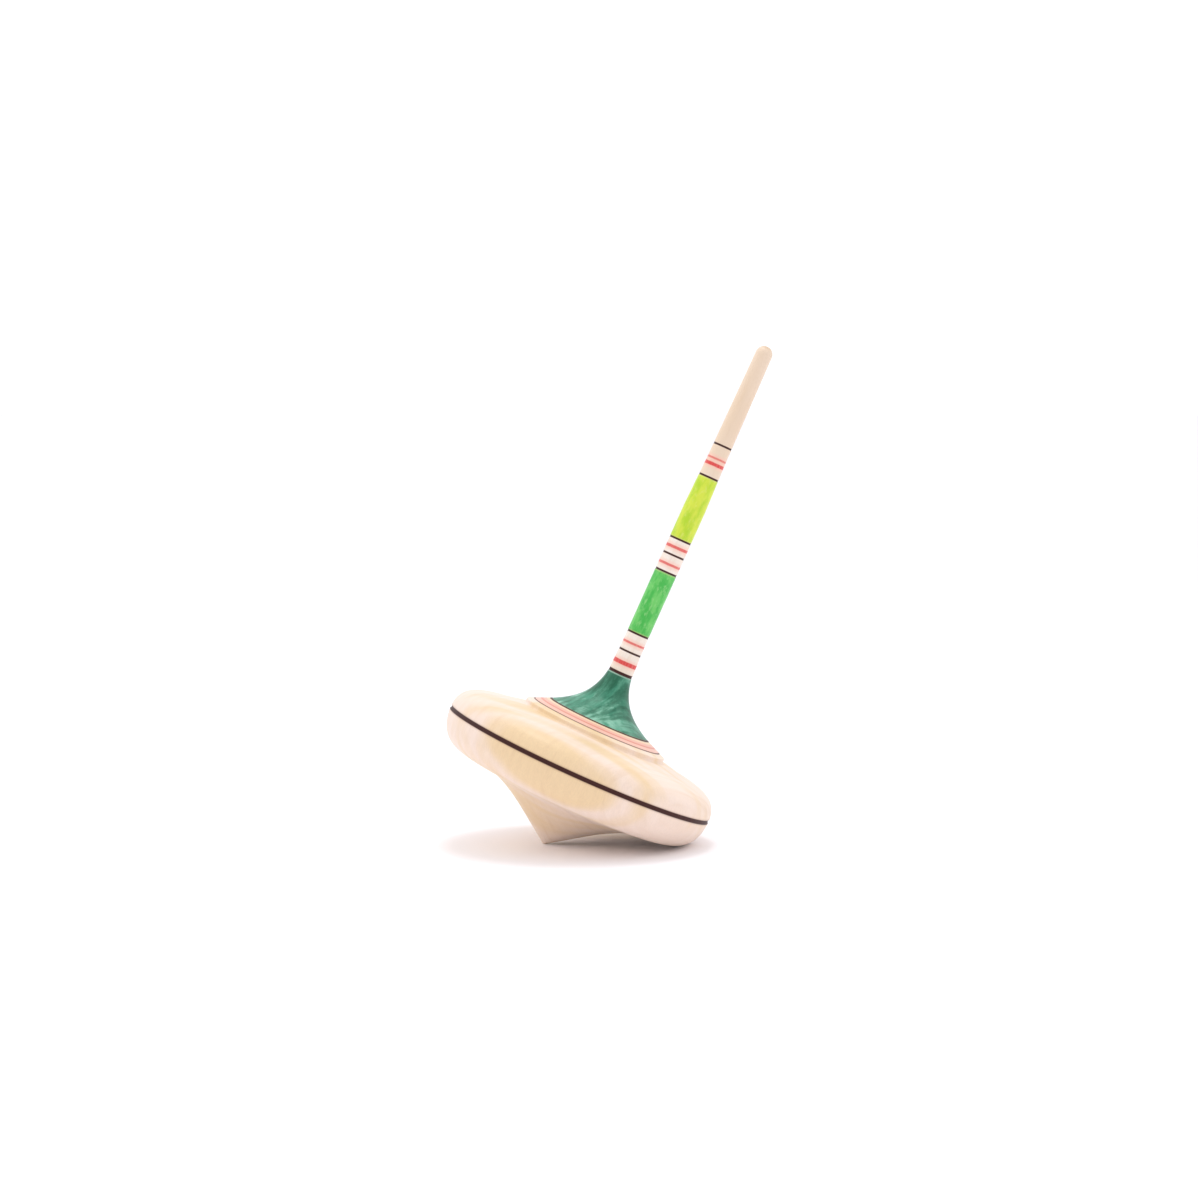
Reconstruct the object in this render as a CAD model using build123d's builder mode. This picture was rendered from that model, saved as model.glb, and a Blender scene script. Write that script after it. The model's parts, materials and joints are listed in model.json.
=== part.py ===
from build123d import *

import os
from math import asin, atan2, cos, degrees, hypot, radians, sin, tan

# A finger top turned from maple, lying at rest on its point and on the edge of its rim.
# It is two pieces of wood. The flywheel is the disc, with the point below it and the flare above it.
# The stem is a thin spindle whose tenon is glued into a blind bore down the middle of the flywheel.
# Millimetres. Heights run up the top's own axis, from where its cone would come to a sharp point.
# Outlines are (radius, height) pairs in a plane through that axis.

# ---- Flywheel: driving sizes ----------------------------------------------------------------------
RIM_RADIUS = 28.0
RIM_HEIGHT = 17.7
RIM_PULL = (3.0, 4.3)
POINT_RADIUS = 0.4
CONE_HALF_ANGLE = radians(55)
CONE_END_RADIUS = 7.0
HOLLOW_PULL = (3.0, 3.7)
UNDERSIDE_START = (17.8, 9.95)
UNDERSIDE_END = (22.8, 10.6)
SHOULDER_PULL = (3.5, 4.3)
CROWN_EDGE = (21.5, 23.2)
CROWN_SLOPE = 0.14
CROWN_PULL = (2.2, 1.5)
STEP_RADIUS = 14.9
STEP_FOOT = 24.3
STEP_TOP = 25.4
STEP_COVE = 0.5
STEP_EASE = 0.25
FLARE_FOOT = (10.1, 27.4)
FLARE_SLOPE = 0.52
FLARE_PULL = (4.1, 5.1)
FLARE_NECK = 0.75
JOINT_HEIGHT = 37.1
JOINT_RADIUS = 2.5

# ---- Stem: driving sizes --------------------------------------------------------------------------
TOP_LENGTH = 108.0
GRIP_RADIUS = 2.25
GRIP_START = 44.0
GRIP_END = 73.0
TAPER_END = 83.0
TAPER_RADIUS = 1.95
END_RADIUS = 1.7
TENON_RADIUS = 1.5
TENON_LENGTH = 20.0
TENON_CHAMFER = 0.3
GLUE_GAP = 0.05
BORE_SPARE = 0.5

# ---- Burnt lines: each is a shallow round-bottomed groove -----------------------------------------
LINE_DEPTH = 0.08
RIM_LINE_DEPTH = 0.2
RIM_LINE_WIDTH = 0.9
PLATFORM_LINE_RADII = [13.5, 10.5]
PLATFORM_LINE_WIDTH = 0.3
JOINT_LINE_HEIGHT = 37.4
JOINT_LINE_WIDTH = 0.6
STEM_LINE_HEIGHTS = [41.9, 45.8, 59.3, 62.9, 66.2, 79.8, 86.5]
STEM_LINE_WIDTH = 0.4

# ---- The leaning pose -----------------------------------------------------------------------------
# The lower half of the rim is one cubic curve, from the flat underside out to the widest ring.
underside_rise = UNDERSIDE_END[1] - UNDERSIDE_START[1]
underside_slope = underside_rise / (UNDERSIDE_END[0] - UNDERSIDE_START[0])
rim_lower = [
    UNDERSIDE_END,
    (UNDERSIDE_END[0] + RIM_PULL[0], UNDERSIDE_END[1] + RIM_PULL[0] * underside_slope),
    (RIM_RADIUS, RIM_HEIGHT - RIM_PULL[1]),
    (RIM_RADIUS, RIM_HEIGHT),
]
point_centre = POINT_RADIUS / sin(CONE_HALF_ANGLE)
RIM_SAMPLES = 400


def lean_onto(radius, height):
    """The lean that lays the rounded point and this spot of the outline on one flat surface."""
    rise = height - point_centre
    return atan2(rise, radius) + asin(POINT_RADIUS / hypot(radius, rise))


rim_curve = Bezier(*rim_lower)
rim_spots = [rim_curve @ (step / RIM_SAMPLES) for step in range(RIM_SAMPLES + 1)]
lean = min(lean_onto(spot.X, spot.Y) for spot in rim_spots)
axis_direction = Vector(sin(lean), 0, cos(lean))
# The origin is where the rounded point touches the ground.
sharp_point = Vector(0, 0, POINT_RADIUS) - axis_direction * point_centre
spin_axis = Axis(sharp_point, axis_direction)
section = Plane(origin=sharp_point, x_dir=(cos(lean), 0, -sin(lean)), z_dir=(0, -1, 0))


def groove(spot, outward, width, depth):
    """Draws the round cutter of one burnt line, which dips below the surface at this spot."""
    radius = (width**2 / 4 + depth**2) / (2 * depth)
    reach = (radius - depth) / hypot(*outward)
    with Locations((spot[0] + outward[0] * reach, spot[1] + outward[1] * reach)):
        Circle(radius)


# ---- Flywheel: disc, point and flare in one piece, with the blind bore ----------------------------
cone_slope = 1 / tan(CONE_HALF_ANGLE)
cone_start = (POINT_RADIUS * cos(CONE_HALF_ANGLE), point_centre - POINT_RADIUS * sin(CONE_HALF_ANGLE))
cone_end = (CONE_END_RADIUS, CONE_END_RADIUS * cone_slope)
hollow_pull_radius = CONE_END_RADIUS + HOLLOW_PULL[0]
cove_radius = STEP_RADIUS + STEP_COVE
platform_start = (STEP_RADIUS - STEP_EASE, STEP_TOP)
platform_slope = (FLARE_FOOT[1] - STEP_TOP) / (platform_start[0] - FLARE_FOOT[0])
bore_bottom = JOINT_HEIGHT - TENON_LENGTH - BORE_SPARE
bore_plane = Plane(origin=sharp_point + axis_direction * bore_bottom, z_dir=axis_direction)

with BuildPart() as flywheel:
    with BuildSketch(section):
        with BuildLine():
            # the rounded point and the straight cone above it
            CenterArc((0, point_centre), POINT_RADIUS, -90, 90 - degrees(CONE_HALF_ANGLE))
            Line(cone_start, cone_end)
            # the hollow where the cone turns out into the flat underside
            Bezier(
                cone_end,
                (hollow_pull_radius, hollow_pull_radius * cone_slope),
                (UNDERSIDE_START[0] - HOLLOW_PULL[1], UNDERSIDE_START[1] - HOLLOW_PULL[1] * underside_slope),
                UNDERSIDE_START,
            )
            Line(UNDERSIDE_START, UNDERSIDE_END)
            # the full round rim, below and above its widest ring
            Bezier(*rim_lower)
            Bezier(
                (RIM_RADIUS, RIM_HEIGHT),
                (RIM_RADIUS, RIM_HEIGHT + SHOULDER_PULL[0]),
                (CROWN_EDGE[0] + SHOULDER_PULL[1], CROWN_EDGE[1] - SHOULDER_PULL[1] * CROWN_SLOPE),
                CROWN_EDGE,
            )
            # the nearly flat crown, ending in a small cove at the foot of the step
            Bezier(
                CROWN_EDGE,
                (CROWN_EDGE[0] - CROWN_PULL[0], CROWN_EDGE[1] + CROWN_PULL[0] * CROWN_SLOPE),
                (cove_radius + CROWN_PULL[1], STEP_FOOT),
                (cove_radius, STEP_FOOT),
            )
            CenterArc((cove_radius, STEP_FOOT + STEP_COVE), STEP_COVE, 270, -90)
            Line((STEP_RADIUS, STEP_FOOT + STEP_COVE), (STEP_RADIUS, STEP_TOP - STEP_EASE))
            CenterArc((STEP_RADIUS - STEP_EASE, STEP_TOP - STEP_EASE), STEP_EASE, 0, 90)
            # the sloping platform, then the flare that narrows to the stem
            Line(platform_start, FLARE_FOOT)
            Bezier(
                FLARE_FOOT,
                (FLARE_FOOT[0] - FLARE_PULL[0], FLARE_FOOT[1] + FLARE_PULL[0] * FLARE_SLOPE),
                (JOINT_RADIUS + FLARE_NECK, JOINT_HEIGHT - FLARE_PULL[1]),
                (JOINT_RADIUS, JOINT_HEIGHT),
            )
            Line((JOINT_RADIUS, JOINT_HEIGHT), (0, JOINT_HEIGHT))
            Line((0, JOINT_HEIGHT), (0, point_centre - POINT_RADIUS))
        make_face()
    revolve(axis=spin_axis)
    # the burnt lines round the rim and round the platform
    with BuildSketch(section):
        groove((RIM_RADIUS, RIM_HEIGHT), (1, 0), RIM_LINE_WIDTH, RIM_LINE_DEPTH)
        for line_radius in PLATFORM_LINE_RADII:
            line_height = STEP_TOP + (platform_start[0] - line_radius) * platform_slope
            groove((line_radius, line_height), (platform_slope, 1), PLATFORM_LINE_WIDTH, LINE_DEPTH)
    revolve(axis=spin_axis, mode=Mode.SUBTRACT)
    # the blind bore for the tenon
    with BuildSketch(bore_plane):
        Circle(TENON_RADIUS + GLUE_GAP)
    extrude(amount=JOINT_HEIGHT - bore_bottom, mode=Mode.SUBTRACT)

flywheel.part.label = "flywheel"

# ---- Stem: a long taper with a tenon below its shoulder -------------------------------------------
tenon_end = JOINT_HEIGHT - TENON_LENGTH
dome_start = (END_RADIUS, TOP_LENGTH - END_RADIUS)
stem_outline = [
    (JOINT_RADIUS, JOINT_HEIGHT),
    (GRIP_RADIUS, GRIP_START),
    (GRIP_RADIUS, GRIP_END),
    (TAPER_RADIUS, TAPER_END),
    dome_start,
]


def stem_radius(height):
    """The stem's radius at a height, along the straight runs of its outline."""
    for (low_radius, low), (high_radius, high) in zip(stem_outline, stem_outline[1:]):
        if low <= height <= high:
            return low_radius + (high_radius - low_radius) * (height - low) / (high - low)


with BuildPart() as stem:
    with BuildSketch(section):
        with BuildLine():
            Polyline(
                (0, tenon_end),
                (TENON_RADIUS - TENON_CHAMFER, tenon_end),
                (TENON_RADIUS, tenon_end + TENON_CHAMFER),
                (TENON_RADIUS, JOINT_HEIGHT),
                *stem_outline,
            )
            RadiusArc(dome_start, (0, TOP_LENGTH), -END_RADIUS)
            Line((0, TOP_LENGTH), (0, tenon_end))
        make_face()
    revolve(axis=spin_axis)
    # the thick burnt line that hides the glued joint, and the thin ones above it
    with BuildSketch(section):
        joint_line_spot = (stem_radius(JOINT_LINE_HEIGHT), JOINT_LINE_HEIGHT)
        groove(joint_line_spot, (1, 0), JOINT_LINE_WIDTH, LINE_DEPTH)
        for line_height in STEM_LINE_HEIGHTS:
            groove((stem_radius(line_height), line_height), (1, 0), STEM_LINE_WIDTH, LINE_DEPTH)
    revolve(axis=spin_axis, mode=Mode.SUBTRACT)

stem.part.label = "stem"

os.makedirs("parts", exist_ok=True)
export_step(flywheel.part, "parts/flywheel.step")
export_step(stem.part, "parts/stem.step")
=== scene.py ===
import json
from math import asin, atan2, cos, pi, radians, sin, tan
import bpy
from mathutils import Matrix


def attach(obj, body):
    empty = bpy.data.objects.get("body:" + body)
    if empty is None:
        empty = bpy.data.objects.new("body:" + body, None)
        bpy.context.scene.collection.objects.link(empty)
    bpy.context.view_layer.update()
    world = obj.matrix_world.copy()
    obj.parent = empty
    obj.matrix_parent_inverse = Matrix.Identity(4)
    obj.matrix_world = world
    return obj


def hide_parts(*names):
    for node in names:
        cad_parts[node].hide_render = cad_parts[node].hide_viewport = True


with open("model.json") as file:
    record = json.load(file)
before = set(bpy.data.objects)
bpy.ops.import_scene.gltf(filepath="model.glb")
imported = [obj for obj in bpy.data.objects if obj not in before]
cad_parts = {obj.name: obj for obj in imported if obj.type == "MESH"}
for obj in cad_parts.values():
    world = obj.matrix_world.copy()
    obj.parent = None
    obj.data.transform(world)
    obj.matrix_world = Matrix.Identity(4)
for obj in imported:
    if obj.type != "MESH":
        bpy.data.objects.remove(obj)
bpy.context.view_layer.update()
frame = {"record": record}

from types import SimpleNamespace

import bpy
from mathutils import Vector
from mathutils.geometry import interpolate_bezier

# ---- Flywheel -------------------------------------------------------------------------------------
# The disc, its point and the flare are one piece of maple, turned on a lathe and sanded. The pink rings
# and the green flare are stained while it spins, the dark lines are burnt in with a wire, and all of it
# is varnished. A blind bore down the middle takes the stem's tenon.

# Outlines are (radius, height) pairs in millimetres, and heights run up the top's own axis.
RIM_RADIUS = 28.0
RIM_HEIGHT = 17.7
RIM_PULL = (3.0, 4.3)
POINT_RADIUS = 0.4
CONE_HALF_ANGLE = radians(55)
CONE_END_RADIUS = 7.0
HOLLOW_PULL = (3.0, 3.7)
UNDERSIDE_START = (17.8, 9.95)
UNDERSIDE_END = (22.8, 10.6)
SHOULDER_PULL = (3.5, 4.3)
CROWN_EDGE = (21.5, 23.2)
CROWN_SLOPE = 0.14
CROWN_PULL = (2.2, 1.5)
STEP_RADIUS = 14.9
STEP_FOOT = 24.3
STEP_TOP = 25.4
STEP_COVE = 0.5
STEP_EASE = 0.25
FLARE_FOOT = (10.1, 27.4)
FLARE_SLOPE = 0.52
FLARE_PULL = (4.1, 5.1)
FLARE_NECK = 0.75
JOINT_HEIGHT = 37.1
JOINT_RADIUS = 2.5
BORE_RADIUS = 1.55
BORE_BOTTOM = 16.6
LINE_DEPTH = 0.08
RIM_LINE_DEPTH = 0.2
RIM_LINE_WIDTH = 0.9
PLATFORM_LINE_RADII = [13.5, 10.5]
PLATFORM_LINE_WIDTH = 0.3
FLYWHEEL_STEPS_ROUND = 256
LONGEST_RUN = 0.5
SAME_SPOT = 0.005
MM = 0.001

# The top leans on its rim. Its axis and the foot of that axis come from the grip's mount.
GRIP_MIDDLE = 58.5
mounts = {mount["name"]: mount for mount in frame["record"]["mounts"]}
axis_direction = Vector(mounts["stem_grip"]["axis"])
axis_foot = Vector(mounts["stem_grip"]["pos_m"]) - axis_direction * GRIP_MIDDLE * MM
lean = atan2(axis_direction.x, axis_direction.z)


def curve(start, pull, push, end, steps):
    """Spots along a cubic curve, both ends included."""
    return [tuple(spot) for spot in interpolate_bezier(*map(Vector, (start, pull, push, end)), steps + 1)]


def arc(centre, radius, start, sweep, steps):
    """Spots along a round arc, both ends included, with its angles in radians."""
    angles = [start + sweep * step / steps for step in range(steps + 1)]
    return [(centre[0] + radius * cos(angle), centre[1] + radius * sin(angle)) for angle in angles]


def divided(outline):
    """The outline with doubled spots made one and long runs divided, so that it shades true at each edge."""
    spots = [Vector(outline[0])]
    for end in map(Vector, outline[1:]):
        start = spots[-1]
        length = (end - start).length
        if length < SAME_SPOT:
            continue
        steps = int(length / LONGEST_RUN) + 1
        spots += [start.lerp(end, step / steps) for step in range(1, steps + 1)]
    return spots


# The outline's own spots are cleared this far to each side of a burnt line, in half widths of the line.
LINE_CLEARANCE = 1.05


def burn(outline, spot, outward, width, depth, steps=8):
    """Cuts the round-bottomed groove of one burnt line across an outline, at a spot on it."""
    spot = Vector(spot)
    outward = Vector(outward).normalized()
    along = Vector((-outward.y, outward.x))
    reach = width / 2
    radius = (reach ** 2 + depth ** 2) / (2 * depth)
    centre = spot + outward * (radius - depth)
    spread = asin(reach / radius)
    near = min(range(len(outline)), key=lambda place: (outline[place] - spot).length)
    place = near if (outline[near] - spot).dot(along) > 0 else near + 1
    before = outline[:place]
    after = outline[place:]
    while (before[-1] - spot).length < reach * LINE_CLEARANCE:
        before.pop()
    while (after[0] - spot).length < reach * LINE_CLEARANCE:
        after.pop(0)
    angles = [spread * (2 * step / steps - 1) for step in range(steps + 1)]
    groove = [centre - outward * radius * cos(angle) + along * radius * sin(angle) for angle in angles]
    return before + groove + after


def node(tree, kind, *inputs, **settings):
    """Adds a node to a tree. Each input is a socket to link, a value, or None to leave it alone."""
    made = tree.nodes.new(kind)
    for name, setting in settings.items():
        setattr(made, name, setting)
    for socket, source in zip(made.inputs, inputs):
        if isinstance(source, bpy.types.NodeSocket):
            tree.links.new(source, socket)
        elif source is not None:
            socket.default_value = source
    return made


def turn(tree, vector, axis, angle):
    """Turns a vector about an axis through the origin."""
    return node(tree, "ShaderNodeVectorRotate", vector, None, axis, angle).outputs[0]


# Copies of a spot this near each other, in metres, become one. That closes the ends on the axis and the
# seam where the last turn meets the first.
MERGE_REACH = 1e-7


def lathe_tree():
    """The turning rule: an outline's spots, each turned round the axis, then leaned and set on its foot."""
    tree = bpy.data.node_groups.new("turned_on_the_lathe", "GeometryNodeTree")
    for name, kind in (
        ("Outline", "NodeSocketGeometry"),
        ("Steps round", "NodeSocketInt"),
        ("Lean", "NodeSocketFloat"),
        ("Foot", "NodeSocketVector"),
        ("Finish", "NodeSocketMaterial"),
    ):
        tree.interface.new_socket(name, in_out="INPUT", socket_type=kind)
    tree.interface.new_socket("Turned piece", in_out="OUTPUT", socket_type="NodeSocketGeometry")
    given = tree.nodes.new("NodeGroupInput").outputs
    spots = node(tree, "GeometryNodeAttributeDomainSize", given["Outline"]).outputs["Point Count"]
    rows = node(tree, "FunctionNodeIntegerMath", given["Steps round"], 1, operation="ADD").outputs[0]
    sheet = node(tree, "GeometryNodeMeshGrid", 1.0, 1.0, rows, spots).outputs["Mesh"]
    index = node(tree, "GeometryNodeInputIndex").outputs[0]
    place = node(tree, "FunctionNodeIntegerMath", index, spots, operation="MODULO").outputs[0]
    row = node(tree, "FunctionNodeIntegerMath", index, spots, operation="DIVIDE_FLOOR").outputs[0]
    spot = tree.nodes.new("GeometryNodeSampleIndex")
    spot.data_type = "FLOAT_VECTOR"
    tree.links.new(given["Outline"], spot.inputs["Geometry"])
    tree.links.new(node(tree, "GeometryNodeInputPosition").outputs[0], spot.inputs["Value"])
    tree.links.new(place, spot.inputs["Index"])
    share = node(tree, "ShaderNodeMath", row, given["Steps round"], operation="DIVIDE").outputs[0]
    angle = node(tree, "ShaderNodeMath", share, 2 * pi, operation="MULTIPLY").outputs[0]
    spun = turn(tree, spot.outputs["Value"], (0, 0, 1), angle)
    leaned = turn(tree, spun, (0, 1, 0), given["Lean"])
    placed = node(tree, "ShaderNodeVectorMath", leaned, given["Foot"], operation="ADD").outputs[0]
    shaped = node(tree, "GeometryNodeSetPosition", sheet, None, placed).outputs[0]
    merge = tree.nodes.new("GeometryNodeMergeByDistance")
    merge.inputs["Distance"].default_value = MERGE_REACH
    tree.links.new(shaped, merge.inputs["Geometry"])
    smooth = node(tree, "GeometryNodeSetShadeSmooth", merge.outputs[0]).outputs[0]
    real = node(tree, "GeometryNodeRealizeInstances", smooth).outputs[0]
    finished = node(tree, "GeometryNodeSetMaterial", real, None, given["Finish"]).outputs[0]
    node(tree, "NodeGroupOutput", finished)
    return tree


lathe = lathe_tree()


def turned(name, outline, steps_round, material):
    """Turns an outline into a plain mesh piece on the leaning axis."""
    profile = bpy.data.meshes.new(name + "_outline")
    corners = [(spot.x * MM, 0.0, spot.y * MM) for spot in outline]
    profile.from_pydata(corners, [(place, place + 1) for place in range(len(corners) - 1)], [])
    blank = bpy.data.objects.new(name + "_blank", profile)
    bpy.context.scene.collection.objects.link(blank)
    modifier = blank.modifiers.new("lathe", "NODES")
    modifier.node_group = lathe
    sizes = {"Steps round": steps_round, "Lean": lean, "Foot": axis_foot, "Finish": material}
    for socket in lathe.interface.items_tree:
        if socket.in_out == "INPUT" and socket.name in sizes:
            modifier[socket.identifier] = sizes[socket.name]
    depsgraph = bpy.context.evaluated_depsgraph_get()
    mesh = bpy.data.meshes.new_from_object(blank.evaluated_get(depsgraph))
    mesh.name = name
    bpy.data.objects.remove(blank)
    bpy.data.meshes.remove(profile)
    piece = bpy.data.objects.new(name, mesh)
    bpy.context.scene.collection.objects.link(piece)
    return piece


def srgb(red, green, blue):
    """A colour given as 0 to 255 on a screen, as the light values that shaders use."""
    shares = [level / 255 for level in (red, green, blue)]
    light = [share / 12.92 if share <= 0.04045 else ((share + 0.055) / 1.055) ** 2.4 for share in shares]
    return (*light, 1.0)


def maths(tree, operation, *values):
    """One step of arithmetic on numbers, or on sockets that carry them."""
    return node(tree, "ShaderNodeMath", *values, operation=operation).outputs[0]


def noise(tree, vector, scale, detail, rough=0.5, stretch=(1, 1, 1)):
    """Soft noise from 0 to 1, drawn out along an axis where its stretch is under 1."""
    moved = node(tree, "ShaderNodeVectorMath", vector, stretch, operation="MULTIPLY").outputs[0]
    return node(tree, "ShaderNodeTexNoise", moved, None, scale, detail, rough).outputs[0]


def ramp(tree, value, low, high, low_gives=0.0, high_gives=1.0):
    """Eases from one number to another as a value goes from low to high."""
    made = node(tree, "ShaderNodeMapRange", value, low, high, low_gives, high_gives)
    made.interpolation_type = "SMOOTHSTEP"
    return made.outputs[0]


def tint(tree, share, under, over, mode="MIX"):
    """Lays one colour over another by a share."""
    made = tree.nodes.new("ShaderNodeMix")
    made.data_type = "RGBA"
    made.blend_type = mode
    for place, source in ((0, share), (6, under), (7, over)):
        if isinstance(source, bpy.types.NodeSocket):
            tree.links.new(source, made.inputs[place])
        else:
            made.inputs[place].default_value = source
    return made.outputs[2]


def off_axis(tree, split):
    """How far a spot is from the axis, from its separate X and Y."""
    squares = [maths(tree, "POWER", split.outputs[place], 2.0) for place in (0, 1)]
    return maths(tree, "SQRT", maths(tree, "ADD", *squares))


def stripe(tree, height, middle, width, edge):
    """1 inside a stripe across the axis and 0 outside it, with soft edges."""
    away = maths(tree, "ABSOLUTE", maths(tree, "SUBTRACT", height, middle))
    return ramp(tree, away, width / 2 - edge, width / 2 + edge, 1.0, 0.0)


# The pith of the tree that the blank was cut from lies outside the blank, beside its axis. Growth rings
# are about that far pith, so they show as lines down the rim and as slanting streaks on the flare.
PITH_AWAY = 60.0
PITH_TURN = radians(45)
PITH = (PITH_AWAY * cos(PITH_TURN), -PITH_AWAY * sin(PITH_TURN), 0.0)
RING_SPACING = 2.1
RING_WANDER = 2.2
# Pink and yellow clouds in the wood lie in long bands, turned this far about the axis. The wood is painted
# pinker towards the two ends of those bands, a painted sheen on the disc's left and right edges.
BOARD_TURN = radians(15)


def maple_group():
    """The figure of the wood, in millimetres about the top's own axis."""
    tree = bpy.data.node_groups.new("maple_figure", "ShaderNodeTree")
    tree.interface.new_socket("Wood", in_out="INPUT", socket_type="NodeSocketVector")
    for name in ("Rings", "Cloud_and_sheen", "Fibre", "Streaks", "Tool marks"):
        tree.interface.new_socket(name, in_out="OUTPUT", socket_type="NodeSocketFloat")
    wood = tree.nodes.new("NodeGroupInput").outputs["Wood"]
    from_pith = node(tree, "ShaderNodeVectorMath", wood, PITH, operation="SUBTRACT").outputs[0]
    flat = node(tree, "ShaderNodeVectorMath", from_pith, (1, 1, 0), operation="MULTIPLY").outputs[0]
    away = node(tree, "ShaderNodeVectorMath", flat, operation="LENGTH").outputs["Value"]
    wander = noise(tree, wood, 0.06, 2.0, 0.5, (1, 1, 0.35))
    years = maths(tree, "MULTIPLY_ADD", wander, RING_WANDER, maths(tree, "DIVIDE", away, RING_SPACING))
    season = maths(tree, "FRACT", years)
    rings = maths(tree, "SUBTRACT", ramp(tree, season, 0.0, 0.75), ramp(tree, season, 0.85, 1.0))
    board = turn(tree, wood, (0, 0, 1), BOARD_TURN)
    cloud_and_sheen = noise(tree, board, 0.2, 2.0, 0.45, (0.14, 1, 0.4))
    # Painted sheen: the wood is made pinker towards the two ends of the bands, on the disc's left and right
    # edges.
    out = maths(tree, "ABSOLUTE", node(tree, "ShaderNodeSeparateXYZ", board).outputs[0])
    cloud_and_sheen = maths(tree, "ADD", cloud_and_sheen, ramp(tree, out, 8.0, 28.0, -0.03, 0.14))
    across = turn(tree, wood, (0, 0, 1), PITH_TURN)
    streaks = noise(tree, across, 0.75, 3.0, 0.6, (1, 0.05, 0.12))
    fibre = noise(tree, wood, 4.5, 3.0, 0.6, (1, 1, 0.07))
    split = node(tree, "ShaderNodeSeparateXYZ", wood)
    reach = node(tree, "ShaderNodeCombineXYZ", off_axis(tree, split), 0.0, split.outputs[2]).outputs[0]
    marks = noise(tree, reach, 5.0, 2.0)
    node(tree, "NodeGroupOutput", rings, cloud_and_sheen, fibre, streaks, marks)
    return tree


maple = maple_group()

WOOD_YELLOW = srgb(237, 208, 167)
WOOD_PINK = srgb(245, 223, 208)
WOOD_DEEP = srgb(220, 184, 146)
GROWTH_LINE_STRENGTH = 0.08
CHAR = srgb(62, 22, 16)
CHAR_DULLNESS = 0.25
SCORCH = srgb(150, 100, 70)
# The varnish is rougher over some fibres than over others, from one of these to the other.
VARNISH_ROUGHNESS = (0.38, 0.5)


def wood_finish(name):
    """Starts a material, with a spot's place in the wood, its figure, its height and how far out it is."""
    material = bpy.data.materials.new(name)
    material.use_nodes = True
    tree = material.node_tree
    tree.nodes.clear()
    place = node(tree, "ShaderNodeTexCoord").outputs["Object"]
    turned_to = tree.nodes.new("ShaderNodeMapping")
    turned_to.vector_type = "TEXTURE"
    turned_to.inputs["Location"].default_value = axis_foot
    turned_to.inputs["Rotation"].default_value = (0.0, lean, 0.0)
    turned_to.inputs["Scale"].default_value = (MM, MM, MM)
    tree.links.new(place, turned_to.inputs["Vector"])
    wood = turned_to.outputs[0]
    figure = node(tree, "ShaderNodeGroup")
    figure.node_tree = maple
    tree.links.new(wood, figure.inputs[0])
    split = node(tree, "ShaderNodeSeparateXYZ", wood)
    return SimpleNamespace(
        material=material,
        tree=tree,
        wood=wood,
        figure=figure.outputs,
        side=split.outputs[0],
        height=split.outputs[2],
        radius=off_axis(tree, split),
    )


def grey(tree, level):
    """A number as a grey colour."""
    return node(tree, "ShaderNodeCombineColor", level, level, level).outputs[0]


def bare_maple(finish, yellow, pink):
    """Pale maple: tan growth lines, pink and yellow bands with painted sheen at the disc's ends, fine
    fibres.
    """
    tree = finish.tree
    figure = finish.figure
    # The pink share carries the wood's clouds and also the painted sheen at the disc's ends.
    colour = tint(tree, ramp(tree, figure["Cloud_and_sheen"], 0.34, 0.64), yellow, pink)
    colour = tint(tree, maths(tree, "MULTIPLY", figure["Rings"], GROWTH_LINE_STRENGTH), colour, WOOD_DEEP)
    colour = tint(tree, ramp(tree, figure["Streaks"], 0.5, 0.8, 0.0, 0.3), colour, WOOD_DEEP)
    shade = ramp(tree, figure["Fibre"], 0.3, 0.7, 0.965, 1.02)
    return tint(tree, 1.0, colour, grey(tree, shade), "MULTIPLY")


def varnish(finish, colour, burnt, relief_height):
    """The satin varnish over it all, dull on the burnt lines, with fibres and tool marks showing in it."""
    tree = finish.tree
    figure = finish.figure
    shader = tree.nodes.new("ShaderNodeBsdfPrincipled")
    tree.links.new(colour, shader.inputs["Base Color"])
    dull = ramp(tree, figure["Fibre"], 0.3, 0.7, *VARNISH_ROUGHNESS)
    dull = maths(tree, "MULTIPLY_ADD", burnt, CHAR_DULLNESS, dull)
    tree.links.new(dull, shader.inputs["Roughness"])
    shader.inputs["IOR"].default_value = 1.5
    shader.inputs["Specular IOR Level"].default_value = 0.32
    shader.inputs["Coat Weight"].default_value = 0.1
    shader.inputs["Coat Roughness"].default_value = 0.3
    relief = maths(tree, "ADD", figure["Fibre"], maths(tree, "MULTIPLY", figure["Tool marks"], 0.6))
    bump = tree.nodes.new("ShaderNodeBump")
    bump.inputs["Strength"].default_value = 0.35
    bump.inputs["Distance"].default_value = relief_height
    tree.links.new(relief, bump.inputs["Height"])
    tree.links.new(bump.outputs[0], shader.inputs["Normal"])
    node(tree, "ShaderNodeOutputMaterial", shader.outputs[0])


# Stained rings on the platform, each from one radius to another: pale pink, rose and peach, with a thin
# salmon line where the pink meets the rose.
RING_STRENGTH = 0.93
STAIN_WAVER = 0.12
PLATFORM_RINGS = [
    (12.35, 13.5, srgb(238, 186, 170)),
    (11.25, 12.35, srgb(236, 178, 160)),
    (10.4, 11.3, srgb(240, 206, 172)),
    (12.0, 12.4, srgb(222, 138, 120)),
]
# The flare's green is rubbed on, so it is thin over hard growth lines and deep between them. Its deeper
# green up the neck and on the side that the top leans to is painted shade, and its paler green low down and
# on the other side is painted light and sheen.
FLARE_GREEN = srgb(68, 150, 120)
FLARE_DEEP = srgb(4, 92, 64)
FLARE_PALE = srgb(150, 204, 180)
FLARE_EDGE = srgb(150, 184, 164)
FLARE_RADIUS = 10.3
FLARE_EDGE_HEIGHT = 36.95
STREAK_SHARE = 0.45
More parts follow.
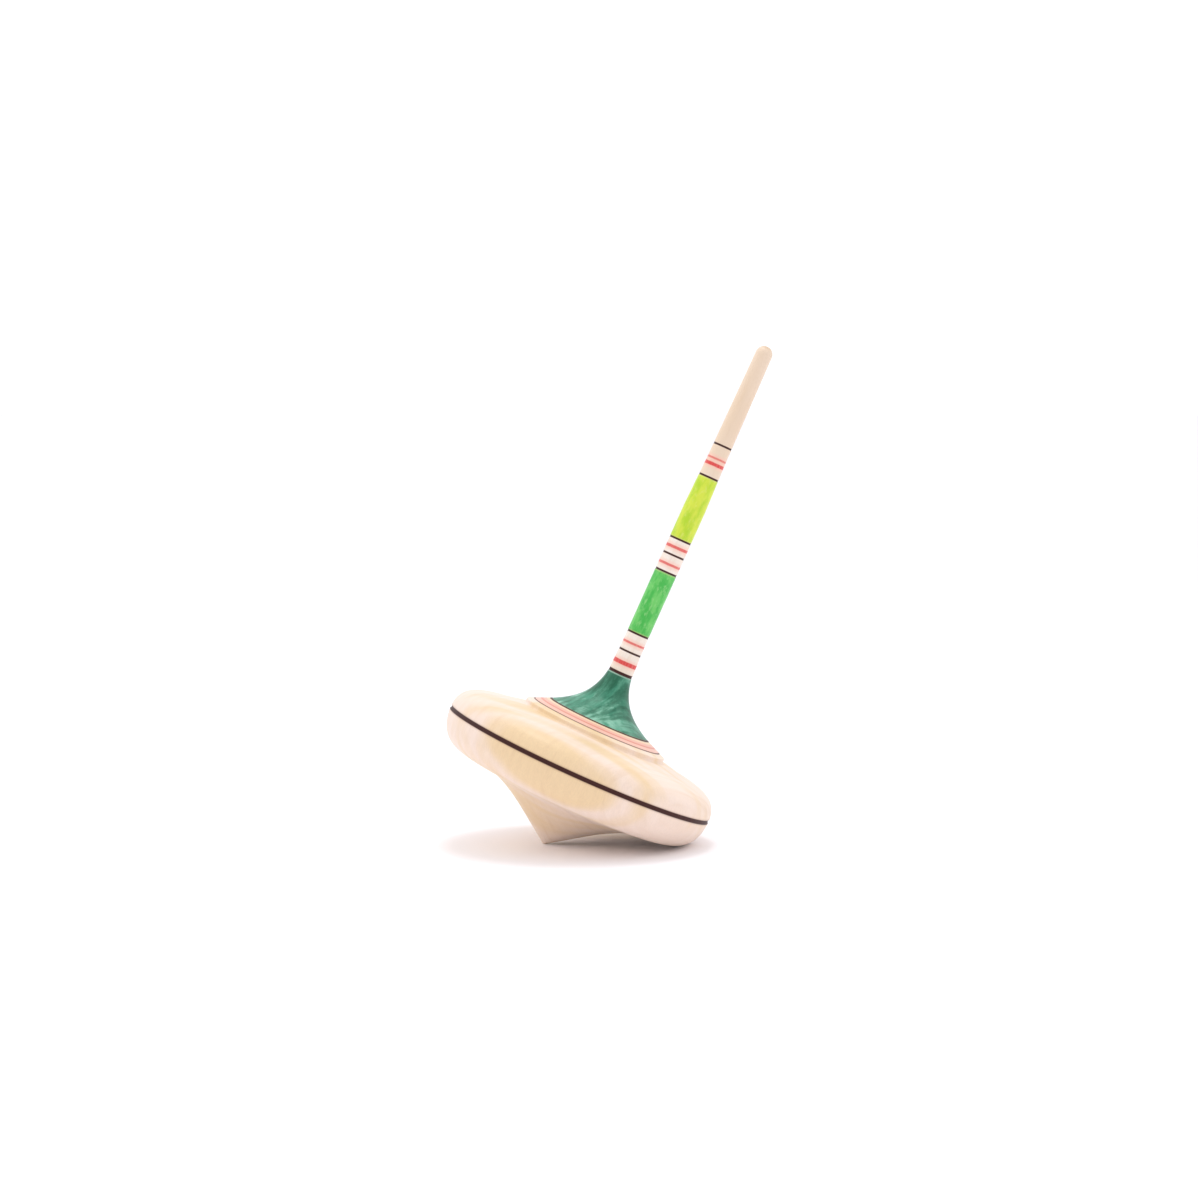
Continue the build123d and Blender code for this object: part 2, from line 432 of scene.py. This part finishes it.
# How dark each platform line is burnt, and how far its char spreads beyond its groove.
PLATFORM_CHAR = [(0.8, 0.0), (0.95, 0.16)]
LINE_EDGE = 0.06
RIM_LINE_EDGE = 0.08
# How much wider than the rim's line the scorched wood under it is, and how strongly it shows.
SCORCH_SPREAD = 0.4
SCORCH_STRENGTH = 0.35
FLYWHEEL_RELIEF = 0.03 * MM


def above_step(finish):
    """1 on the platform and the flare, and 0 below the step."""
    return ramp(finish.tree, finish.height, STEP_TOP - 0.35, STEP_TOP - 0.2)


def on_rim(finish):
    """1 on the rim, and 0 inside it."""
    return ramp(finish.tree, finish.radius, RIM_RADIUS - 1.0, RIM_RADIUS - 0.8)


def wavering(finish, spot, scale):
    """A height or a radius that wavers a little, as the edge of a brushed stain does."""
    waver = maths(finish.tree, "SUBTRACT", noise(finish.tree, finish.wood, scale, 2.0), 0.5)
    return maths(finish.tree, "MULTIPLY_ADD", waver, STAIN_WAVER, spot)


def ringed(finish, colour, ring_spot):
    """The stained rings over the colour of the wood."""
    tree = finish.tree
    for inside, outside, stain in PLATFORM_RINGS:
        ring = stripe(tree, ring_spot, (inside + outside) / 2, outside - inside, 0.1)
        ring = maths(tree, "MULTIPLY", maths(tree, "MULTIPLY", ring, above_step(finish)), RING_STRENGTH)
        colour = tint(tree, ring, colour, stain)
    return colour


def greened(finish, colour, ring_spot):
    """The green of the flare over the colour of the wood, up to the pale edge under the stem."""
    tree = finish.tree
    wood = finish.wood
    across = turn(tree, wood, (0, 0, 1), PITH_TURN)
    mottle = noise(tree, across, 0.6, 5.0, 0.68, (1, 0.22, 0.4))
    mottle = maths(tree, "MULTIPLY", mottle, 1 - STREAK_SHARE)
    soaked_and_shaded = maths(tree, "MULTIPLY_ADD", finish.figure["Streaks"], STREAK_SHARE, mottle)
    # Painted shade and light: deeper green up the neck, paler low down, and deeper on the side the top leans
    # to.
    soaked_and_shaded = maths(tree, "ADD", soaked_and_shaded, ramp(tree, finish.height, 29.5, 34.0, -0.035, 0.06))
    soaked_and_shaded = maths(tree, "ADD", soaked_and_shaded, ramp(tree, finish.side, 1.0, 8.0, 0.0, 0.05))
    green = tint(tree, ramp(tree, soaked_and_shaded, 0.38, 0.64), FLARE_GREEN, FLARE_DEEP)
    rubbed_and_sheen = ramp(tree, noise(tree, wood, 0.3, 3.0, 0.6, (1, 1, 0.5)), 0.4, 0.62)
    # Painted sheen and light: more pale green on the side away from the lean and low on the flare.
    for share in (
        ramp(tree, soaked_and_shaded, 0.56, 0.42, 0.15, 0.85),
        ramp(tree, finish.side, 0.0, 6.0, 1.0, 0.3),
        ramp(tree, finish.height, 34.5, 30.5, 0.35, 1.0),
    ):
        rubbed_and_sheen = maths(tree, "MULTIPLY", rubbed_and_sheen, share)
    green = tint(tree, rubbed_and_sheen, green, FLARE_PALE)
    flare = ramp(tree, ring_spot, FLARE_RADIUS + 0.05, FLARE_RADIUS - 0.1)
    colour = tint(tree, maths(tree, "MULTIPLY", flare, above_step(finish)), colour, green)
    return tint(tree, stripe(tree, finish.height, FLARE_EDGE_HEIGHT, 0.2, 0.1), colour, FLARE_EDGE)


def scorched(finish, colour):
    """The wood beside the rim's line, browned by its heat."""
    tree = finish.tree
    halo = stripe(tree, finish.height, RIM_HEIGHT, RIM_LINE_WIDTH + SCORCH_SPREAD, 0.25)
    halo = maths(tree, "MULTIPLY", maths(tree, "MULTIPLY", halo, SCORCH_STRENGTH), on_rim(finish))
    return tint(tree, halo, colour, SCORCH)


def charred(finish):
    """1 on the burnt lines of the rim and the platform, and 0 elsewhere."""
    tree = finish.tree
    burnt = stripe(tree, finish.height, RIM_HEIGHT, RIM_LINE_WIDTH, RIM_LINE_EDGE)
    burnt = maths(tree, "MULTIPLY", burnt, on_rim(finish))
    for line_radius, (strength, spread) in zip(PLATFORM_LINE_RADII, PLATFORM_CHAR):
        line = stripe(tree, finish.radius, line_radius, PLATFORM_LINE_WIDTH + spread, LINE_EDGE)
        line = maths(tree, "MULTIPLY", maths(tree, "MULTIPLY", line, above_step(finish)), strength)
        burnt = maths(tree, "MAXIMUM", burnt, line)
    return burnt


finish = wood_finish("stained_flywheel_maple")
ring_spot = wavering(finish, finish.radius, scale=0.8)
colour = bare_maple(finish, WOOD_YELLOW, WOOD_PINK)
colour = ringed(finish, colour, ring_spot)
colour = greened(finish, colour, ring_spot)
colour = scorched(finish, colour)
burnt = charred(finish)
colour = tint(finish.tree, burnt, colour, CHAR)
varnish(finish, colour, burnt, FLYWHEEL_RELIEF)

point_centre = POINT_RADIUS / sin(CONE_HALF_ANGLE)
cone_slope = 1 / tan(CONE_HALF_ANGLE)
cone_end = (CONE_END_RADIUS, CONE_END_RADIUS * cone_slope)
hollow_radius = CONE_END_RADIUS + HOLLOW_PULL[0]
underside_slope = (UNDERSIDE_END[1] - UNDERSIDE_START[1]) / (UNDERSIDE_END[0] - UNDERSIDE_START[0])
hollow_end_radius = UNDERSIDE_START[0] - HOLLOW_PULL[1]
cove_radius = STEP_RADIUS + STEP_COVE
platform_start = (STEP_RADIUS - STEP_EASE, STEP_TOP)
platform_slope = (FLARE_FOOT[1] - STEP_TOP) / (platform_start[0] - FLARE_FOOT[0])

outline = [
    *arc((0, point_centre), POINT_RADIUS, -pi / 2, pi / 2 - CONE_HALF_ANGLE, steps=6),
    *curve(
        cone_end,
        (hollow_radius, hollow_radius * cone_slope),
        (hollow_end_radius, UNDERSIDE_START[1] - HOLLOW_PULL[1] * underside_slope),
        UNDERSIDE_START,
        steps=24,
    ),
    *curve(
        UNDERSIDE_END,
        (UNDERSIDE_END[0] + RIM_PULL[0], UNDERSIDE_END[1] + RIM_PULL[0] * underside_slope),
        (RIM_RADIUS, RIM_HEIGHT - RIM_PULL[1]),
        (RIM_RADIUS, RIM_HEIGHT),
        steps=28,
    ),
    *curve(
        (RIM_RADIUS, RIM_HEIGHT),
        (RIM_RADIUS, RIM_HEIGHT + SHOULDER_PULL[0]),
        (CROWN_EDGE[0] + SHOULDER_PULL[1], CROWN_EDGE[1] - SHOULDER_PULL[1] * CROWN_SLOPE),
        CROWN_EDGE,
        steps=28,
    ),
    *curve(
        CROWN_EDGE,
        (CROWN_EDGE[0] - CROWN_PULL[0], CROWN_EDGE[1] + CROWN_PULL[0] * CROWN_SLOPE),
        (cove_radius + CROWN_PULL[1], STEP_FOOT),
        (cove_radius, STEP_FOOT),
        steps=14,
    ),
    *arc((cove_radius, STEP_FOOT + STEP_COVE), STEP_COVE, -pi / 2, -pi / 2, steps=7),
    *arc((STEP_RADIUS - STEP_EASE, STEP_TOP - STEP_EASE), STEP_EASE, 0, pi / 2, steps=6),
    *curve(
        FLARE_FOOT,
        (FLARE_FOOT[0] - FLARE_PULL[0], FLARE_FOOT[1] + FLARE_PULL[0] * FLARE_SLOPE),
        (JOINT_RADIUS + FLARE_NECK, JOINT_HEIGHT - FLARE_PULL[1]),
        (JOINT_RADIUS, JOINT_HEIGHT),
        steps=40,
    ),
    (BORE_RADIUS, JOINT_HEIGHT),
    (BORE_RADIUS, BORE_BOTTOM),
    (0, BORE_BOTTOM),
]
outline = divided(outline)
outline = burn(outline, (RIM_RADIUS, RIM_HEIGHT), (1, 0), RIM_LINE_WIDTH, RIM_LINE_DEPTH)
for line_radius in PLATFORM_LINE_RADII:
    line_spot = (line_radius, STEP_TOP + (platform_start[0] - line_radius) * platform_slope)
    outline = burn(outline, line_spot, (platform_slope, 1), PLATFORM_LINE_WIDTH, LINE_DEPTH)
flywheel = turned("turned_flywheel", outline, FLYWHEEL_STEPS_ROUND, finish.material)
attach(flywheel, "root")
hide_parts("flywheel")

# ---- Stem -----------------------------------------------------------------------------------------
# A thin maple spindle, turned with a tenon at its foot that is glued down the flywheel's bore. A thick
# burnt line hides the joint. The bands are stained with brushes while it spins, between burnt lines.
TOP_LENGTH = 108.0
GRIP_RADIUS = 2.25
GRIP_START = 44.0
GRIP_END = 73.0
TAPER_END = 83.0
TAPER_RADIUS = 1.95
END_RADIUS = 1.7
TENON_RADIUS = 1.5
TENON_LENGTH = 20.0
TENON_CHAMFER = 0.3
JOINT_LINE_HEIGHT = 37.4
JOINT_LINE_WIDTH = 0.6
STEM_LINE_HEIGHTS = [41.9, 45.8, 59.3, 62.9, 66.2, 79.8, 86.5]
STEM_LINE_WIDTH = 0.4
STEM_STEPS_ROUND = 96

STEM_TAN = srgb(243, 226, 208)
STEM_PINK = srgb(248, 236, 226)
# The wood is darker and yellower towards the stem's top end, changing between these heights.
STEM_TOP_TONE = srgb(230, 202, 172)
TOP_TONE_FROM = 64.0
TOP_TONE_TO = 90.0
TOP_TONE_STRENGTH = 0.7
RED = srgb(222, 72, 70)
RED_HAZE = srgb(248, 196, 178)
HAZE_SPREAD = 0.9
HAZE_STRENGTH = 0.6
BAND_EDGE = srgb(226, 216, 150)
BAND_EDGE_WIDTH = 0.25
BAND_EDGE_STRENGTH = 0.3
END_GRAIN = srgb(196, 160, 120)
END_GRAIN_DEPTH = 0.8
END_GRAIN_STRENGTH = 0.6
STEM_RELIEF = 0.02 * MM
# Each wide band: where it starts and ends, and its deep, middle and pale stain.
STAINED_BANDS = [
    (45.95, 59.1, srgb(69, 184, 77), srgb(110, 205, 102), srgb(172, 226, 152)),
    (66.35, 79.6, srgb(182, 216, 46), srgb(214, 228, 72), srgb(226, 232, 132)),
]
# Each red line: its height, its width and its strength.
RED_LINES = [
    (39.5, 0.85, 1.0),
    (43.7, 0.45, 0.85),
    (60.9, 0.5, 0.85),
    (64.5, 0.6, 0.9),
    (82.5, 0.7, 1.0),
    (83.7, 0.4, 0.75),
]


def banded(finish, colour):
    """The two wide green bands over the colour of the wood, blotchy, and paler at their ends."""
    tree = finish.tree
    wood = finish.wood
    height = finish.height
    blotch = ramp(tree, noise(tree, wood, 0.6, 3.0, 0.6, (1, 1, 0.4)), 0.35, 0.65)
    thin = ramp(tree, noise(tree, wood, 1.7, 3.0, 0.55, (1, 1, 0.5)), 0.5, 0.78, 0.0, 0.5)
    for low, high, deep, middle, pale in STAINED_BANDS:
        stain = tint(tree, thin, tint(tree, blotch, deep, middle), pale)
        for end in (low + 0.1, high - 0.15):
            edge = stripe(tree, height, end, BAND_EDGE_WIDTH, 0.1)
            stain = tint(tree, maths(tree, "MULTIPLY", edge, BAND_EDGE_STRENGTH), stain, BAND_EDGE)
        colour = tint(tree, stripe(tree, height, (low + high) / 2, high - low, 0.05), colour, stain)
    return colour


def red_lined(finish, colour):
    """The red lines, patchy along the fibres, each in a pale haze where the stain has bled."""
    tree = finish.tree
    band_spot = wavering(finish, finish.height, scale=1.2)
    for middle, width, strength in RED_LINES:
        haze = stripe(tree, band_spot, middle, width + HAZE_SPREAD, 0.4)
        colour = tint(tree, maths(tree, "MULTIPLY", haze, HAZE_STRENGTH), colour, RED_HAZE)
        patchy = ramp(tree, finish.figure["Fibre"], 0.2, 0.6, strength * 0.8, strength)
        line = maths(tree, "MULTIPLY", stripe(tree, band_spot, middle, width, 0.1), patchy)
        colour = tint(tree, line, colour, RED)
    return colour


stem_lines = [(JOINT_LINE_HEIGHT, JOINT_LINE_WIDTH)]
stem_lines += [(middle, STEM_LINE_WIDTH) for middle in STEM_LINE_HEIGHTS]

finish = wood_finish("stained_stem_maple")
tree = finish.tree
height = finish.height
colour = bare_maple(finish, STEM_TAN, STEM_PINK)
# Darker and yellower towards the stem's top end.
toward_top = ramp(tree, height, TOP_TONE_FROM, TOP_TONE_TO, 0.0, TOP_TONE_STRENGTH)
colour = tint(tree, toward_top, colour, STEM_TOP_TONE)
colour = banded(finish, colour)
colour = red_lined(finish, colour)
end_grain = ramp(tree, height, TOP_LENGTH - END_GRAIN_DEPTH, TOP_LENGTH, 0.0, END_GRAIN_STRENGTH)
colour = tint(tree, end_grain, colour, END_GRAIN)
burnt = 0.0
for middle, width in stem_lines:
    burnt = maths(tree, "MAXIMUM", burnt, stripe(tree, height, middle, width, LINE_EDGE))
colour = tint(tree, burnt, colour, CHAR)
varnish(finish, colour, burnt, STEM_RELIEF)

stem_outline = [
    (JOINT_RADIUS, JOINT_HEIGHT),
    (GRIP_RADIUS, GRIP_START),
    (GRIP_RADIUS, GRIP_END),
    (TAPER_RADIUS, TAPER_END),
    (END_RADIUS, TOP_LENGTH - END_RADIUS),
]


def stem_radius(level):
    """The stem's radius at a height, along the straight runs of its outline."""
    for (low_radius, low), (high_radius, high) in zip(stem_outline, stem_outline[1:]):
        if low <= level <= high:
            return low_radius + (high_radius - low_radius) * (level - low) / (high - low)


tenon_end = JOINT_HEIGHT - TENON_LENGTH
outline = [
    (0, tenon_end),
    (TENON_RADIUS - TENON_CHAMFER, tenon_end),
    (TENON_RADIUS, tenon_end + TENON_CHAMFER),
    (TENON_RADIUS, JOINT_HEIGHT),
    *stem_outline,
    *arc((0, TOP_LENGTH - END_RADIUS), END_RADIUS, 0, pi / 2, steps=16),
]
outline = divided(outline)
for middle, width in stem_lines:
    outline = burn(outline, (stem_radius(middle), middle), (1, 0), width, LINE_DEPTH)
stem = turned("turned_stem", outline, STEM_STEPS_ROUND, finish.material)
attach(stem, "root")
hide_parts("stem")

# ---- Floor, light and camera ----------------------------------------------------------------------
# A sheet of pale paper, wide enough to reach the horizon, under a soft light overhead in a white room.
# The camera looks a little down on the top from the front. Sizes and places here are in metres.
FLOOR_SIZE = 24.0
FLOOR_COLOUR = (0.982, 0.968, 1.0, 1.0)
floor_mesh = bpy.data.meshes.new("paper_floor")
half = FLOOR_SIZE / 2
floor_corners = [(-half, -half, 0), (half, -half, 0), (half, half, 0), (-half, half, 0)]
floor_mesh.from_pydata(floor_corners, [], [(0, 1, 2, 3)])
floor = bpy.data.objects.new("paper_floor", floor_mesh)
bpy.context.scene.collection.objects.link(floor)
paper = bpy.data.materials.new("pale_paper")
paper.use_nodes = True
paper_shader = paper.node_tree.nodes["Principled BSDF"]
paper_shader.inputs["Base Color"].default_value = FLOOR_COLOUR
paper_shader.inputs["Roughness"].default_value = 0.9
paper_shader.inputs["Specular IOR Level"].default_value = 0.1
floor_mesh.materials.append(paper)

# The room is white, a little dimmer overhead, and darker low down on the side that the camera is on. The
# camera itself sees plain white behind the floor.
ROOM_LEVEL = 1.16
ROOM_TOP = 1.0
ROOM_LOW = 0.62
ROOM_COLOUR = (0.98, 0.985, 1.0, 1.0)
BACKDROP = 1.08
world = bpy.data.worlds.new("white_room")
world.use_nodes = True
sky = world.node_tree
sky.nodes.clear()
toward = node(sky, "ShaderNodeSeparateXYZ", node(sky, "ShaderNodeTexCoord").outputs["Generated"])
low = ramp(sky, toward.outputs[2], 0.1, 0.55, ROOM_LOW, 0.0)
in_front = ramp(sky, toward.outputs[1], -0.6, 0.1, 1.0, 0.0)
room = ramp(sky, toward.outputs[2], 0.5, 0.95, ROOM_LEVEL, ROOM_TOP)
room = maths(sky, "SUBTRACT", room, maths(sky, "MULTIPLY", low, in_front))
seen = maths(sky, "MULTIPLY", node(sky, "ShaderNodeLightPath").outputs["Is Camera Ray"], BACKDROP)
backdrop = node(sky, "ShaderNodeBackground", ROOM_COLOUR, maths(sky, "MAXIMUM", room, seen))
node(sky, "ShaderNodeOutputWorld", backdrop.outputs[0])
bpy.context.scene.world = world

LIGHT_WIDTH = 0.12
LIGHT_DEPTH = 0.26
LIGHT_PLACE = (0.014, 0.05, 0.62)
LIGHT_AIM = (0.01, 0.0, 0.0)
LIGHT_POWER = 0.82
panel = bpy.data.lights.new("soft_panel", "AREA")
panel.shape = "RECTANGLE"
panel.size = LIGHT_WIDTH
panel.size_y = LIGHT_DEPTH
panel.energy = LIGHT_POWER
panel_object = bpy.data.objects.new("soft_panel", panel)
panel_object.location = LIGHT_PLACE
aim = Vector(LIGHT_AIM) - Vector(LIGHT_PLACE)
panel_object.rotation_euler = aim.to_track_quat("-Z", "Y").to_euler()
bpy.context.scene.collection.objects.link(panel_object)

CAMERA_PLACE = (-0.02657, -0.58945, 0.08940)
CAMERA_DOWN = radians(3.942)
CAMERA_TURN = radians(-3.632)
camera = bpy.data.cameras.new("camera")
camera.lens = 90
camera.sensor_width = 36
camera.clip_start = 0.01
camera.clip_end = 50
camera_object = bpy.data.objects.new("camera", camera)
camera_object.location = CAMERA_PLACE
camera_object.rotation_euler = (pi / 2 - CAMERA_DOWN, 0.0, CAMERA_TURN)
bpy.context.scene.collection.objects.link(camera_object)
bpy.context.scene.camera = camera_object
bpy.context.scene.view_settings.view_transform = "Standard"
